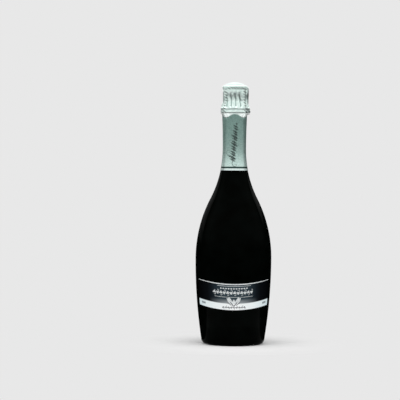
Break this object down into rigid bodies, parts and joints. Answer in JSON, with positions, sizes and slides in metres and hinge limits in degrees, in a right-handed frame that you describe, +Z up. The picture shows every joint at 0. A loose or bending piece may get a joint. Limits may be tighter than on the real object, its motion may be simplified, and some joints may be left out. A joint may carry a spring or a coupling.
{
  "type": "champagne bottle",
  "caption": "Tall-necked sparkling wine bottle with a round belly, a corked and caged mouth, a foil capsule and two curved paper labels.",
  "frame": {"origin": "centre of the resting ring under the bottle", "axes": "+Z up along the bottle's axis, the front label faces -Y, the wire eyelet lies on the +X side"},
  "size_m": [0.094, 0.094, 0.3241],
  "materials": {
    "dark_glass": "glossy, very dark green to black",
    "agglomerated_cork": "matte, fine cork grains",
    "natural_cork": "matte, natural cork with pores",
    "lacquered_tinplate": "satin lacquer",
    "steel_wire": "drawn galvanised wire",
    "pale_foil": "crinkled satin foil, pale green silver",
    "green_foil": "smooth satin foil, grey green",
    "label_paper": "coated paper, near black with silver print"
  },
  "bodies": {
    "bottle": {"bottle_glass": "dark_glass", "capsule_skirt": "green_foil", "front_label": "label_paper", "back_label": "label_paper"},
    "cork": {"cork_body": "agglomerated_cork", "cork_disc_upper": "natural_cork", "cork_disc_lower": "natural_cork"},
    "cage": {"cage_cap": "lacquered_tinplate", "cage_wire": "steel_wire", "belt_wire": "steel_wire"},
    "eyelet": {"twist_eyelet": "steel_wire"},
    "foil_head": {"capsule_head": "pale_foil", "capsule_top": "pale_foil", "tear_strip": "pale_foil"},
    "tab": {"pull_tab": "pale_foil"}
  },
  "joints": [
    {"name": "cork_pull", "type": "slide", "parent": "bottle", "child": "cork", "axis": [0, 0, 1], "range_m": [0, 0.06]},
    {"name": "cage_lift", "type": "slide", "parent": "cork", "child": "cage", "axis": [0, 0, 1], "range_m": [0, 0.05], "deforming": ["cage_wire", "belt_wire"]},
    {"name": "foil_lift", "type": "slide", "parent": "cage", "child": "foil_head", "axis": [0, 0, 1], "range_m": [0, 0.06]},
    {"name": "eyelet_fold", "type": "hinge", "parent": "cage", "child": "eyelet", "pos_m": [0.01698, 0, 0.28704], "axis": [0, 1, 0], "range_deg": [0, 90], "deforming": ["twist_eyelet"]},
    {"name": "tab_fold", "type": "hinge", "parent": "foil_head", "child": "tab", "pos_m": [0.00645, 0.01735, 0.288], "axis": [0, 0, -1], "range_deg": [0, 120]}
  ],
  "couplings": [
    {"joint": "eyelet_fold", "follows": "foil_lift", "rad_per_m": 26.17}
  ]
}
